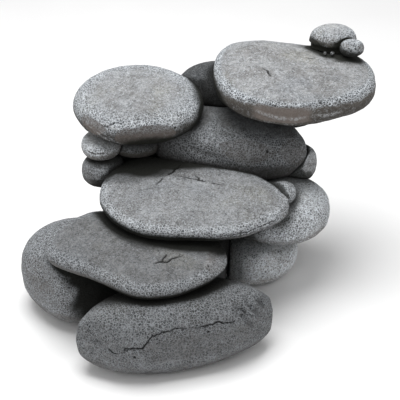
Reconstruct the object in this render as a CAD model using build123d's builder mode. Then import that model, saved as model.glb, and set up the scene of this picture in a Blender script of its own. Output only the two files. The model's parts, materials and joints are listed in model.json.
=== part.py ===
from build123d import *
import itertools
import math
import numpy as np
import os

# Tabletop fountain made of stacked river stones.  Millimetres, +Z up, +X to the right,
# -Y to the front.  The origin is on the surface the fountain stands on, under its middle.

# ---------------------------------------------------------------- driving dimensions
FOOT_HEIGHT = 2.0
FOOT_DIAMETER = 16.0
MORTAR = 0.3            # joint between two bonded stones
SAMPLE_STEP = 2.0       # grid for finding where two stones meet
LEAST_SAMPLES = 2
RUNNING_FIT = 0.05      # radial clearance of a turning piece

CHAMBER_X = -22.0       # middle of the pump chamber
CHAMBER_WIDTH = 68.0
CHAMBER_FLOOR = 10.0
CHAMBER_ROOF = 64.0
CHAMBER_FRONT = 24.0
LEDGE_Y = 112.0         # the door rests against a ledge round the chamber's mouth
LEDGE = 4.0
DOOR_GAP = 0.5
NOTCH_WIDTH = 30.0      # the cord and the water pass under the door
NOTCH_TOP = 22.0
PAD_DIAMETER = 3.0
PAD_THICKNESS = 2.0
# Door pads on the ledge above and below the mouth: distance off its middle, and height.
PADS = [(-22, 65.8), (22, 65.8), (-17, 8.3), (17, 8.3)]

PUMP_Z = 36.0           # height of the pump's shaft
PUMP_WIDTH = 44.0
PUMP_HEIGHT = 38.0
PUMP_FRONT = 44.0
PUMP_CORNER = 5.0
BODY_BACK = 92.0        # back face of the pump body, where its cover sits
COVER_THICKNESS = 6.0
OUTLET_Y = 85.0         # the outlet stands up from the volute
WELL_DIAMETER = 20.0
WELL_FRONT = 58.0
VOLUTE_DIAMETER = 32.0
VOLUTE_DEPTH = 14.0
SEAL_BORE = VOLUTE_DIAMETER / 2 + 1
SEAL_WIDTH = 1.0
SEAL_DEPTH = 1.5
CORE_WIDTH = 12.0
CORE_HEIGHT = 31.0
CORE_FRONT = 47.0
CORE_BACK = 76.0
CORE_DEPTH = 5.0
CORE_LEG = 4.0
COIL_WIDTH = 26.0
COIL_HEIGHT = 18.0
COIL_LENGTH = 8.5
COIL_BACK = 54.0
ROTOR_DIAMETER = 18.0
BLADE_COUNT = 6
BLADE_RADIUS = 14.0
BLADE_THICKNESS = 1.5
DISC_THICKNESS = 2.0
HUB_DIAMETER = 8.0
SHAFT_DIAMETER = 3.0
BUSH_DIAMETER = 6.0
BUSH_LENGTH = 3.0
INTAKE_DIAMETER = 5.0
INTAKE_CIRCLE = 8.5
INTAKE_COUNT = 6
DIAL_DIAMETER = 27.0
DIAL_THICKNESS = 4.0
DIAL_BOSS = 6.0
BOSS_END = 1.5          # how far the boss stands out of the dial
LEVER_WIDTH = 5.0
LEVER_LENGTH = 8.0
GLAND_PLACE = (12.0, 10.0)
GLAND_DIAMETER = 12.0
GLAND_NECK = 8.0
GLAND_LENGTH = 9.0
GLAND_SEAT = 1.2
CUP_SPACING = (28.0, 30.0)
CUP_DIAMETER = 13.0
STEM_DIAMETER = 5.0
STEM_DEPTH = 2.5
SPONGE_THICKNESS = 7.0
SPONGE_HEIGHT = PUMP_HEIGHT + 10
SPONGE_CORNER = 4.0

TUBE_OUTER = 14.0
TUBE_INNER = 10.0
TUBE_BENDS = [36, 27]
BORE = TUBE_OUTER + 1.0
SPIGOT_WALL = 1.5
OUTLET_X = 136.0        # the nozzle in the top slab
OUTLET_REAR = 150.0
BARB_TOP = 72.0
FLANGE_TOP = 58.0
NOZZLE_TOP = 230.0
NOZZLE_FLANGE = 18.0
FLANGE_THICKNESS = 3.0
NOZZLE_LENGTH = 22.0
SEAT_HEIGHT = 12.0
CLAMP_BAND = 1.2
CLAMP_HEIGHT = 4.5
CLAMP_EAR = (5.0, 4.0)
TUBE_ROUTE = [
    (CHAMBER_X, OUTLET_Y, FLANGE_TOP + MORTAR),
    (CHAMBER_X, OUTLET_Y, 110.0),
    (OUTLET_X, OUTLET_REAR, 188.0),
    (OUTLET_X, OUTLET_REAR, NOZZLE_TOP - 3.5),
]

PIN_DIAMETER = 6.0
PIN_CLEARANCE = 0.2
# Dowels that pin the stones: x, y, lowest and highest point, and the stones they join.
PINS = [
    (-30, -85, 50, 90, ("front_base_stone", "low_slab")),
    (-40, -20, 88, 120, ("low_slab", "middle_slab")),
    (-34, 112, 98, 134, ("rear_left_stone", "back_stone")),
    (-75, 106, 148, 186, ("rear_upper_stone", "left_top_stone")),
    (40, 140, 182, 212, ("neck_stone", "top_slab")),
    (84, 152, 172, 208, ("rear_neck_stone", "top_slab")),
]
# Chips of stone set under the top pebble's front: x, y, lowest point and radius.
CHIPS = [(140, 128, 230.3, 2.6), (132, 129, 230.8, 2.1)]
FEET = [(-64, -98), (21, -76), (-126, 8), (63, 60), (-104, 94), (68, 130), (0, 0)]

# One row a stone: middle, size (length, width, thickness), turn (pitch, roll, yaw),
# squareness of the rim, and the outline's radii as shares of the half sizes, counted
# anticlockwise from +X in steps of 45 degrees.
ROUND = (1, 1, 1, 1, 1, 1, 1, 1)
EGG = (1, 0.96, 0.97, 1.04, 1.02, 1.05, 0.98, 0.93)
STONES = {
    "front_base_stone": ((-23, -85, 38), (198, 84, 80), (0, 0, 15), 2.7, ROUND),
    "left_base_stone": ((-127, 8, 42), (114, 126, 88), (0, 0, 0), 2.7,
                        (1, 1, 1, 1, 1, 0.89, 0.98, 1)),
    "right_base_stone": ((63, 60, 30), (92, 70, 64), (0, 0, 25), 2.4, ROUND),
    "rear_left_base_stone": ((-100, 90, 26), (88, 74, 56), (0, 0, -12), 2.7, EGG),
    "rear_right_base_stone": ((68, 128, 30), (92, 76, 68), (0, 0, -15), 2.7, EGG),
    "pump_chamber": ((CHAMBER_X, 40, 44), (112, 190, 96), (0, 0, 0), 3.6, ROUND),
    "low_slab": ((-60, -45, 92.5), (184, 132, 25), (8, 0, 0), 3.0,
                 (0.95, 0.95, 0.98, 1.1, 0.98, 0.67, 0.88, 0.94)),
    "rear_left_stone": ((-50, 105, 99), (106, 82, 56), (0, 0, 10), 2.6, EGG),
    "right_middle_stone": ((85, 59, 86), (108, 106, 58), (0, 0, 0), 2.4, ROUND),
    "rear_right_stone": ((64, 128, 87), (100, 76, 60), (0, 3, 14), 2.7, EGG),
    "middle_slab": ((-4, 12, 122), (194, 140, 24), (8, 0, 0), 3.2,
                    (0.98, 0.87, 1.01, 1.15, 0.99, 0.94, 0.84, 0.93)),
    "slab_end_pebble": ((86, 32, 120), (29, 30, 22), (0, 0, 0), 2.4, ROUND),
    "left_lower_pebble": ((-100, 72, 126), (46, 50, 32), (0, 0, 0), 2.4, ROUND),
    "left_upper_pebble": ((-101, 80, 151), (44, 50, 25), (0, 0, 0), 2.4, ROUND),
    "wedge_stone": ((-66, 88, 147), (52, 46, 20), (0, 0, 0), 2.4, ROUND),
    "back_stone": ((26, 107, 142), (180, 100, 73), (0, 6, -9), 2.5, ROUND),
    "right_small_stone": ((104, 100, 119), (46, 50, 38), (0, 0, 0), 2.4, ROUND),
    "rear_upper_stone": ((-68, 120, 146), (92, 74, 52), (0, 4, -10), 2.6, EGG),
    "left_top_stone": ((-63, 97, 189), (137, 112, 44), (14, 0, 0), 2.6, ROUND),
    "neck_stone": ((21, 149, 181), (92, 78, 55), (0, 0, 0), 2.4, ROUND),
    "rear_neck_stone": ((104, 143, 172), (84, 60, 54), (0, -6, 12), 2.5, EGG),
    "top_slab": ((99, 103, 210), (169, 134, 38), (6, 1, -6), 3.4,
                 (1, 1.1, 1.02, 1.24, 1, 1.02, 1, 0.91)),
    "top_pebble": ((142, 152, 236.5), (51, 40, 36), (0, 0, 0), 2.5, ROUND),
    "small_top_pebble": ((160, 129, 239), (26, 20, 18), (0, 0, 0), 2.4, ROUND),
}

# Heights of the lofted sections, as shares of the half thickness.
SECTIONS = (-0.99, -0.94, -0.83, -0.65, -0.4, 0, 0.4, 0.65, 0.83, 0.94, 0.99)


# ---------------------------------------------------------------- stones
def pebble(name):
    """One smooth stone, lofted through outlines that shrink towards its top and bottom."""
    middle, size, turn, squareness, radii = STONES[name]
    length, width, thickness = size
    ground = Plane(Location(middle, turn))
    with BuildPart() as stone:
        for share in SECTIONS:
            shrink = (1 - abs(share) ** squareness) ** (1 / squareness)
            outline = [
                (
                    length / 2 * shrink * radius * math.cos(corner * math.pi / 4),
                    width / 2 * shrink * radius * math.sin(corner * math.pi / 4),
                )
                for corner, radius in enumerate(radii)
            ]
            with BuildSketch(ground.offset(share * thickness / 2)):
                with BuildLine():
                    Spline(*outline, periodic=True)
                make_face()
        loft(ruled=True)
    return stone.part.solid()


def plane_of(name):
    """The plane through a stone's middle, with the stone's turn."""
    return Plane(Location(STONES[name][0], STONES[name][2]))


def inside(name, points):
    """Which of an array of points lie inside a stone."""
    _, size, _, squareness, radii = STONES[name]
    ground = plane_of(name)
    axes = np.array([tuple(ground.x_dir), tuple(ground.y_dir), tuple(ground.z_dir)])
    x, y, z = ((points - np.array(tuple(ground.origin))) @ axes.T / (np.array(size) / 2)).T
    corners = np.linspace(0, 2 * math.pi, len(radii) + 1)
    rim = np.interp(np.arctan2(y, x) % (2 * math.pi), corners, radii + radii[:1])
    return (np.hypot(x, y) / rim) ** squareness + np.abs(z) ** squareness < 1


def bed_plane(one, other):
    """The flat bed between two stones that press into each other, or None.

    It faces along the thin direction of what they share, at the offset that takes least
    off either stone outside that.  It points from the first stone to the second.
    """
    boxes = [shapes[name].bounding_box() for name in (one, other)]
    low = np.max([tuple(box.min) for box in boxes], axis=0)
    high = np.min([tuple(box.max) for box in boxes], axis=0)
    if np.any(high < low):
        return None
    low = np.min([tuple(box.min) for box in boxes], axis=0)
    high = np.max([tuple(box.max) for box in boxes], axis=0)
    steps = [np.arange(start, end, SAMPLE_STEP) for start, end in zip(low, high)]
    points = np.stack(np.meshgrid(*steps), axis=-1).reshape(-1, 3)
    in_one = inside(one, points)
    in_other = inside(other, points)
    shared = points[in_one & in_other]
    if len(shared) < LEAST_SAMPLES:
        return None
    middle = shared.mean(axis=0)
    towards = points[in_other].mean(axis=0) - points[in_one].mean(axis=0)
    beds = []
    for normal in np.linalg.eigh(np.cov((shared - middle).T))[1].T:
        normal = normal * math.copysign(1, normal @ towards)
        below = (points[in_one & ~in_other] - middle) @ normal
        above = (points[in_other & ~in_one] - middle) @ normal
        reach = (shared - middle) @ normal
        for offset in np.linspace(reach.min(), reach.max(), 25):
            loss = np.sum(below > offset) + np.sum(above < offset)
            beds.append((loss, tuple(middle + normal * offset), tuple(normal)))
    _, origin, normal = min(beds)
    return Plane(origin=origin, z_dir=normal)


def flat_side(shape, plane, keep):
    """The part of a stone on one side of a plane."""
    halves = split(shape, bisect_by=plane, keep=keep).solids()
    return max(halves, key=lambda solid: solid.volume)


shapes = {name: pebble(name) for name in STONES}
for one, other in itertools.combinations(STONES, 2):
    joint = bed_plane(one, other)
    if joint:
        shapes[one] = flat_side(shapes[one], joint.offset(-MORTAR / 2), Keep.BOTTOM)
        shapes[other] = flat_side(shapes[other], joint.offset(MORTAR / 2), Keep.TOP)
for name in STONES:
    if shapes[name].bounding_box().min.Z < FOOT_HEIGHT:
        shapes[name] = flat_side(shapes[name], Plane.XY.offset(FOOT_HEIGHT), Keep.TOP)


# ---------------------------------------------------------------- water path
with BuildLine() as route:
    FilletPolyline(*TUBE_ROUTE, radius=TUBE_BENDS)
route_start = Plane(origin=TUBE_ROUTE[0])

with BuildPart() as riser_bore:
    with BuildSketch(route_start):
        Circle(BORE / 2)
    sweep(path=route.wire())

with BuildPart() as riser_tube:
    with BuildSketch(route_start):
        Circle(TUBE_OUTER / 2)
        Circle(TUBE_INNER / 2, mode=Mode.SUBTRACT)
    sweep(path=route.wire())
riser_tube.part.label = "riser_tube"

with BuildPart() as outlet_nozzle:
    outlet = Plane(origin=(OUTLET_X, OUTLET_REAR, NOZZLE_TOP))
    with BuildSketch(outlet):
        Circle(NOZZLE_FLANGE / 2)
    extrude(amount=-FLANGE_THICKNESS)
    with BuildSketch(outlet):
        Circle(TUBE_INNER / 2 - RUNNING_FIT)
    extrude(amount=-NOZZLE_LENGTH)
    with BuildSketch(outlet):
        Circle(TUBE_INNER / 2 - SPIGOT_WALL)
    extrude(amount=-NOZZLE_LENGTH, mode=Mode.SUBTRACT)
outlet_nozzle.part.label = "outlet_nozzle"

with BuildPart() as nozzle_seat:
    with BuildSketch(outlet.offset(-FLANGE_THICKNESS - 2 * MORTAR)):
        Circle(NOZZLE_FLANGE / 2 + MORTAR)
    extrude(amount=SEAT_HEIGHT)

with BuildPart() as tube_clamp:
    with BuildSketch(Plane.XY.offset(FLANGE_TOP + 2 * MORTAR)):
        with Locations((CHAMBER_X, OUTLET_Y)):
            Circle(TUBE_OUTER / 2 + 2 * RUNNING_FIT + CLAMP_BAND)
            with Locations((TUBE_OUTER / 2 + CLAMP_BAND, 0)):
                Rectangle(*CLAMP_EAR)
            Circle(TUBE_OUTER / 2 + 2 * RUNNING_FIT, mode=Mode.SUBTRACT)
    extrude(amount=CLAMP_HEIGHT)
tube_clamp.part.label = "tube_clamp"

bored = ["pump_chamber", "rear_left_stone", "back_stone", "rear_neck_stone", "top_slab"]
for name in bored:
    shapes[name] = shapes[name] - riser_bore.part
shapes["top_slab"] = shapes["top_slab"] - nozzle_seat.part
shapes["top_pebble"] = shapes["top_pebble"] - nozzle_seat.part


# ---------------------------------------------------------------- pump chamber and door
def window(grow, front, back):
    """A block through the chamber's mouth, larger than the chamber by grow all round."""
    height = CHAMBER_ROOF - CHAMBER_FLOOR
    with BuildPart() as block:
        with BuildSketch(Plane.XZ.offset(-back)):
            with Locations((CHAMBER_X, CHAMBER_FLOOR + height / 2)):
                RectangleRounded(CHAMBER_WIDTH + 2 * grow, height + 2 * grow, 6)
        extrude(amount=back - front)
    return block.part


BEYOND = 160.0
with BuildPart() as notch:
    with BuildSketch(Plane.XZ.offset(-BEYOND)):
        with Locations((CHAMBER_X, NOTCH_TOP / 2)):
            Rectangle(NOTCH_WIDTH, NOTCH_TOP)
    extrude(amount=BEYOND - LEDGE_Y)

stone = shapes["pump_chamber"]
door_window = window(LEDGE - DOOR_GAP, LEDGE_Y + PAD_THICKNESS + MORTAR, BEYOND)
rear_door = stone.intersect(door_window).solid() - notch.part
shapes["rear_door"] = rear_door
stone = stone - window(0, CHAMBER_FRONT, LEDGE_Y + 1)
shapes["pump_chamber"] = stone - window(LEDGE, LEDGE_Y, BEYOND)

with BuildPart() as door_pads:
    with BuildSketch(Plane.XZ.offset(-LEDGE_Y - MORTAR / 2 - PAD_THICKNESS)):
        for across, height in PADS:
            with Locations((CHAMBER_X + across, height)):
                Circle(PAD_DIAMETER / 2)
    extrude(amount=PAD_THICKNESS)
door_pads.part.label = "door_pads"


# ---------------------------------------------------------------- pump
def across(y):
    """A plane square to the pump's shaft at y, centred on the shaft, facing the front."""
    return Plane(origin=(CHAMBER_X, y, PUMP_Z), x_dir=(1, 0, 0), z_dir=(0, -1, 0))


with BuildPart() as stator_core:
    with BuildSketch(across(CORE_FRONT + CORE_DEPTH)):
        Rectangle(CORE_WIDTH, CORE_HEIGHT)
    extrude(amount=CORE_DEPTH)
    with BuildSketch(across(CORE_BACK)):
        with GridLocations(0, CORE_HEIGHT - CORE_LEG, 1, 2):
            Rectangle(CORE_WIDTH, CORE_LEG)
    extrude(amount=CORE_BACK - CORE_FRONT - CORE_DEPTH)
stator_core.part.label = "stator_core"

with BuildPart() as stator_coil:
    with BuildSketch(across(COIL_BACK)):
        RectangleRounded(COIL_WIDTH, COIL_HEIGHT, 2)
    extrude(amount=COIL_LENGTH)
    with BuildSketch(across(CORE_FRONT + CORE_DEPTH)):
        Rectangle(CORE_WIDTH, CORE_HEIGHT)
    extrude(amount=CORE_DEPTH, mode=Mode.SUBTRACT)
stator_coil.part.label = "stator_coil"

with BuildPart() as pump_body:
    with BuildSketch(across(BODY_BACK)):
        RectangleRounded(PUMP_WIDTH, PUMP_HEIGHT, PUMP_CORNER)
    extrude(amount=BODY_BACK - PUMP_FRONT)
    fillet(pump_body.faces().sort_by(Axis.Y)[0].edges(), 3)
    with BuildSketch(Plane(origin=(CHAMBER_X, OUTLET_Y, PUMP_Z + VOLUTE_DIAMETER / 2 - 2))):
        Circle(TUBE_OUTER / 2)
    extrude(amount=FLANGE_TOP - PUMP_Z - VOLUTE_DIAMETER / 2 + 2)
    with BuildSketch(Plane(origin=(CHAMBER_X, OUTLET_Y, FLANGE_TOP))):
        Circle(TUBE_INNER / 2 - RUNNING_FIT)
    extrude(amount=BARB_TOP - FLANGE_TOP)
    with BuildSketch(Plane(origin=(CHAMBER_X, OUTLET_Y, PUMP_Z + 8))):
        Circle(TUBE_INNER / 2 - SPIGOT_WALL)
    extrude(amount=BARB_TOP - PUMP_Z - 8, mode=Mode.SUBTRACT)
    with BuildSketch(across(BODY_BACK)):
        Circle(VOLUTE_DIAMETER / 2)
    extrude(amount=VOLUTE_DEPTH, mode=Mode.SUBTRACT)
    with BuildSketch(across(BODY_BACK)):
        Circle(SEAL_BORE + SEAL_WIDTH)
        Circle(SEAL_BORE, mode=Mode.SUBTRACT)
    extrude(amount=SEAL_DEPTH, mode=Mode.SUBTRACT)
    with BuildSketch(across(BODY_BACK)):
        Circle(WELL_DIAMETER / 2)
    extrude(amount=BODY_BACK - WELL_FRONT, mode=Mode.SUBTRACT)
    with BuildSketch(across(WELL_FRONT)):
        Circle(BUSH_DIAMETER / 2)
    extrude(amount=BUSH_LENGTH, mode=Mode.SUBTRACT)
    with BuildSketch(across(PUMP_FRONT + GLAND_SEAT)):
        with Locations(GLAND_PLACE):
            Circle(GLAND_NECK / 2)
    extrude(amount=GLAND_SEAT, mode=Mode.SUBTRACT)
    with BuildSketch(Plane.XY.offset(PUMP_Z - PUMP_HEIGHT / 2)):
        with Locations((CHAMBER_X, (PUMP_FRONT + BODY_BACK) / 2)):
            with GridLocations(*CUP_SPACING, 2, 2):
                Circle(STEM_DIAMETER / 2)
    extrude(amount=STEM_DEPTH, mode=Mode.SUBTRACT)
    add([stator_core.part, stator_coil.part], mode=Mode.SUBTRACT)
pump_body.part.label = "pump_body"

with BuildPart() as cover_seal:
    with BuildSketch(across(BODY_BACK)):
        Circle(SEAL_BORE + SEAL_WIDTH)
        Circle(SEAL_BORE, mode=Mode.SUBTRACT)
    extrude(amount=SEAL_DEPTH)
cover_seal.part.label = "cover_seal"

with BuildPart() as pump_cover:
    with BuildSketch(across(BODY_BACK + COVER_THICKNESS)):
        RectangleRounded(PUMP_WIDTH, PUMP_HEIGHT, PUMP_CORNER)
    extrude(amount=COVER_THICKNESS)
    fillet(pump_cover.faces().sort_by(Axis.Y)[-1].edges(), 1.5)
    with BuildSketch(across(BODY_BACK + COVER_THICKNESS + DIAL_THICKNESS + BOSS_END)):
        Circle(DIAL_BOSS / 2)
    extrude(amount=DIAL_THICKNESS + BOSS_END)
    with BuildSketch(across(BODY_BACK + COVER_THICKNESS)):
        with PolarLocations(INTAKE_CIRCLE, INTAKE_COUNT):
            Circle(INTAKE_DIAMETER / 2)
    extrude(amount=COVER_THICKNESS, mode=Mode.SUBTRACT)
    with BuildSketch(across(BODY_BACK + BUSH_LENGTH)):
        Circle(BUSH_DIAMETER / 2)
    extrude(amount=BUSH_LENGTH, mode=Mode.SUBTRACT)
pump_cover.part.label = "pump_cover"

with BuildPart() as shaft_bushes:
    for back in (WELL_FRONT, BODY_BACK + BUSH_LENGTH):
        with BuildSketch(across(back)):
            Circle(BUSH_DIAMETER / 2)
            Circle(SHAFT_DIAMETER / 2, mode=Mode.SUBTRACT)
        extrude(amount=BUSH_LENGTH)
shaft_bushes.part.label = "shaft_bushes"

with BuildPart() as impeller_shaft:
    with BuildSketch(across(BODY_BACK + BUSH_LENGTH)):
        Circle(SHAFT_DIAMETER / 2)
    extrude(amount=BODY_BACK - WELL_FRONT + 2 * BUSH_LENGTH)
impeller_shaft.part.label = "impeller_shaft"

with BuildPart() as impeller:
    with BuildSketch(across(BODY_BACK - VOLUTE_DEPTH + 1)):
        Circle(ROTOR_DIAMETER / 2)
    extrude(amount=BODY_BACK - VOLUTE_DEPTH - WELL_FRONT - 1)
    with BuildSketch(across(BODY_BACK - VOLUTE_DEPTH + 1 + DISC_THICKNESS)):
        Circle(BLADE_RADIUS)
    extrude(amount=DISC_THICKNESS)
    with BuildSketch(across(BODY_BACK - 2)):
        Circle(HUB_DIAMETER / 2)
        with PolarLocations(BLADE_RADIUS / 2 + 1, BLADE_COUNT):
            Rectangle(BLADE_RADIUS - 3, BLADE_THICKNESS)
    extrude(amount=VOLUTE_DEPTH - 5)
    with BuildSketch(across(BODY_BACK)):
        Circle(SHAFT_DIAMETER / 2 + RUNNING_FIT)
    extrude(amount=BODY_BACK - WELL_FRONT, mode=Mode.SUBTRACT)
impeller.part.label = "impeller"

with BuildPart() as flow_dial:
    with BuildSketch(across(BODY_BACK + COVER_THICKNESS + DIAL_THICKNESS + MORTAR)):
        Circle(DIAL_DIAMETER / 2)
        with Locations((0, DIAL_DIAMETER / 2 + 1)):
            RectangleRounded(LEVER_WIDTH, LEVER_LENGTH, 1.5)
        Circle(DIAL_BOSS / 2 + RUNNING_FIT, mode=Mode.SUBTRACT)
        with PolarLocations(INTAKE_CIRCLE, INTAKE_COUNT):
            Circle(INTAKE_DIAMETER / 2, mode=Mode.SUBTRACT)
    extrude(amount=DIAL_THICKNESS)
flow_dial.part.label = "flow_dial"

with BuildPart() as cord_gland:
    with BuildSketch(across(PUMP_FRONT + GLAND_SEAT)):
        with Locations(GLAND_PLACE):
            Circle(GLAND_NECK / 2)
    extrude(amount=GLAND_SEAT)
    with BuildSketch(across(PUMP_FRONT)):
        with Locations(GLAND_PLACE):
            Circle(GLAND_DIAMETER / 2)
    extrude(amount=GLAND_LENGTH, taper=8)
cord_gland.part.label = "cord_gland"

with BuildPart() as suction_cups:
    top = PUMP_Z - PUMP_HEIGHT / 2
    for side, end in itertools.product((-0.5, 0.5), repeat=2):
        x = CHAMBER_X + side * CUP_SPACING[0]
        y = (PUMP_FRONT + BODY_BACK) / 2 + end * CUP_SPACING[1]
        with BuildSketch(Plane(origin=(x, y, CHAMBER_FLOOR + MORTAR))):
            Circle(CUP_DIAMETER / 2)
        extrude(amount=top - CHAMBER_FLOOR - 2 * MORTAR, taper=25)
        with BuildSketch(Plane(origin=(x, y, top - 1))):
            Circle(STEM_DIAMETER / 2)
        extrude(amount=STEM_DEPTH + 1)
suction_cups.part.label = "suction_cups"

with BuildPart() as intake_sponge:
    with BuildSketch(across(LEDGE_Y - 2 * MORTAR)):
        RectangleRounded(PUMP_WIDTH, SPONGE_HEIGHT, SPONGE_CORNER)
    extrude(amount=SPONGE_THICKNESS)
intake_sponge.part.label = "intake_sponge"


# ---------------------------------------------------------------- pins, chips and feet
def pin_holes(name):
    """The dowel holes of one stone, or None."""
    rows = [pin for pin in PINS if name in pin[4]]
    if not rows:
        return None
    with BuildPart() as holes:
        for x, y, low, high, _ in rows:
            with BuildSketch(Plane(origin=(x, y, low - PIN_CLEARANCE))):
                Circle(PIN_DIAMETER / 2 + PIN_CLEARANCE)
            extrude(amount=high - low + 2 * PIN_CLEARANCE)
    return holes.part


for name in STONES:
    holes = pin_holes(name)
    if holes:
        shapes[name] = shapes[name] - holes

with BuildPart() as dowel_pins:
    for x, y, low, high, _ in PINS:
        with BuildSketch(Plane(origin=(x, y, low))):
            Circle(PIN_DIAMETER / 2)
        extrude(amount=high - low)
dowel_pins.part.label = "dowel_pins"

with BuildPart() as rubber_feet:
    with BuildSketch(Plane.XY):
        with Locations(*FEET):
            Circle(FOOT_DIAMETER / 2)
    extrude(amount=FOOT_HEIGHT)
rubber_feet.part.label = "rubber_feet"

with BuildPart() as outlet_chips:
    for x, y, low, radius in CHIPS:
        with Locations((x, y, low + radius)):
            Sphere(radius)
outlet_chips.part.label = "outlet_chips"


# ---------------------------------------------------------------- export
pieces = [
    riser_tube, outlet_nozzle, tube_clamp, door_pads, stator_core, stator_coil, pump_body,
    cover_seal, pump_cover, shaft_bushes, impeller_shaft, impeller, flow_dial, cord_gland,
    suction_cups, intake_sponge, dowel_pins, rubber_feet, outlet_chips,
]
os.makedirs("parts", exist_ok=True)
for name, shape in shapes.items():
    shape = shape.solid()
    shape.label = name
    export_step(shape, f"parts/{name}.step")
for piece in pieces:
    export_step(piece.part, f"parts/{piece.part.label}.step")
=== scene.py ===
import json
import math

import bmesh
import bpy
import numpy as np
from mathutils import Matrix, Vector, noise
from mathutils.bvhtree import BVHTree


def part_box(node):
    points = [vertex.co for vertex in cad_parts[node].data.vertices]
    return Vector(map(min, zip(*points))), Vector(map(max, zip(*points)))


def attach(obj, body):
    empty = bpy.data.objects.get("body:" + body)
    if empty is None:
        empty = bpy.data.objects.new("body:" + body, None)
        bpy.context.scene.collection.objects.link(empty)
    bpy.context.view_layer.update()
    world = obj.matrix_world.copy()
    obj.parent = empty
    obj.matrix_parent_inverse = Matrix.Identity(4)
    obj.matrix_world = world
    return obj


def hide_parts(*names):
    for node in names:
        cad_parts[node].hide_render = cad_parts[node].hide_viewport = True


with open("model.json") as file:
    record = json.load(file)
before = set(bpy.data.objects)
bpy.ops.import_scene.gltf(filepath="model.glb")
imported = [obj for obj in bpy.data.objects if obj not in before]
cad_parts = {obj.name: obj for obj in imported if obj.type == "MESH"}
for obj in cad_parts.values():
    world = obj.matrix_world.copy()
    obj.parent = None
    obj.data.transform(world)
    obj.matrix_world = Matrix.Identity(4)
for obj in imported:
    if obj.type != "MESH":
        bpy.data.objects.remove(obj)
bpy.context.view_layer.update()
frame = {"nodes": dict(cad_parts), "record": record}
slots = {row["node"]: row["material_slot"] for row in frame["record"]["subparts"]}
body_of_node = {
    node: body
    for body, nodes in frame["record"]["behaviour"]["bodies"].items()
    for node in nodes
}
stones = [node for node in sorted(slots) if slots[node].startswith("stone_")]

# ---------------------------------------------------------------- sizes, in metres
VOXEL = 0.0024              # grid of a stone's mesh, halved once it is smooth
FINE_VOXEL = 0.0018         # the same for the slabs, whose faces are the largest in view
SMALL_VOXEL = 0.0012        # the same for a pebble
CHIP_VOXEL = 0.0006         # the same for the chips under the top pebble
SMALL = 0.06                # a stone shorter than this is a pebble
SMOOTH_STEPS = 12
DOOR_STEPS = 4              # the door keeps its edges
RIM_STEPS = 30              # how far a surface is blurred to find its rims
RIM_HEIGHT = 0.0011         # how far a full rim stands out of the blurred surface
HOLLOW_REACH = 0.05         # how far a hollow looks for the stone that shades it
HOLLOW_RAYS = 10
RAY_START = 0.0008
BEYOND = 0.02               # rays towards a stone start this far outside its box
LINE_STEP = 0.0006          # spacing of the points of a crack
SPLIT_REACHES = (0.0032, 0.0018)    # faces this near a crack or pit are split again
MOUTH_MARGIN = 0.004        # no lumps this near the door and its mouth
HOLLOW_START = 0.023        # the chamber is hollow from this far in front of the pump
WANDER = ((260, 0.0011), (900, 0.0005))         # how a crack sways: noise scale, size
BREAK_NOISE = ((210, 0.0007), (70, 0.0008))     # how rough a broken face is: the same
BREAK_SHARE = 0.9           # how far what stands over a broken face is pressed down to it
CHIP_EDGE = 0.0006          # a face broken this deep is coloured as bare stone
FOAM_CELL = 0.0024          # size of the cells in the filter foam
FOAM_PIT = 0.0012           # depth of its pits

# ---------------------------------------------------------------- how each stone looks
# Grey level of its top, share of brown on its sides, strength of its speckle, how much painted
# shade darkens its sides (below zero, painted light brightens them instead), and how much
# painted shade darkens its hollows.
LOOKS = {
    "top_slab": (0.305, 1.0, 1.30, 0.85, 1.0),
    "left_top_stone": (0.292, 0.7, 1.30, 0.88, 1.0),
    "middle_slab": (0.250, 0.2, 1.60, 0.30, 1.0),
    "low_slab": (0.172, 0.5, 1.40, 0.10, 1.0),
    "front_base_stone": (0.128, 0.1, 1.80, -0.65, 1.0),
    "left_base_stone": (0.190, 0.3, 1.80, -0.35, 1.0),
    "right_middle_stone": (0.450, 0.2, 1.50, 0.45, 0.8),
    "right_base_stone": (0.620, 0.2, 1.90, -0.10, 0.6),
    "back_stone": (0.165, 0.5, 1.30, 0.35, 0.3),
    "neck_stone": (0.066, 0.6, 1.40, 0.30, 0.8),
    "right_small_stone": (0.400, 0.2, 1.20, 0.50, 0.9),
    "left_upper_pebble": (0.520, 0.6, 1.30, 0.60, 0.25),
    "left_lower_pebble": (0.185, 0.5, 1.20, 0.30, 0.8),
    "slab_end_pebble": (0.260, 0.2, 1.2, 0.50, 0.8),
    "wedge_stone": (0.220, 0.9, 1.00, 0.50, 0.5),
    "top_pebble": (0.360, 1.0, 1.30, 1.00, 1.0),
    "small_top_pebble": (0.290, 0.4, 1.20, 0.60, 0.8),
    "pump_chamber": (0.060, 0.3, 0.80, 0.50, 1.0),
    "rear_door": (0.180, 0.3, 1.0, 0.30, 0.5),
    "rear_left_stone": (0.180, 0.3, 1.0, 0.40, 0.9),
    "rear_upper_stone": (0.180, 0.4, 1.0, 0.40, 0.9),
    "rear_right_stone": (0.180, 0.3, 1.0, 0.40, 0.9),
    "rear_neck_stone": (0.200, 0.4, 1.0, 0.40, 0.9),
    "rear_left_base_stone": (0.180, 0.3, 1.0, 0.40, 0.9),
    "rear_right_base_stone": (0.180, 0.3, 1.0, 0.40, 0.9),
    "outlet_chips": (0.190, 0.4, 1.00, 0.50, 0.6),
}

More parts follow.
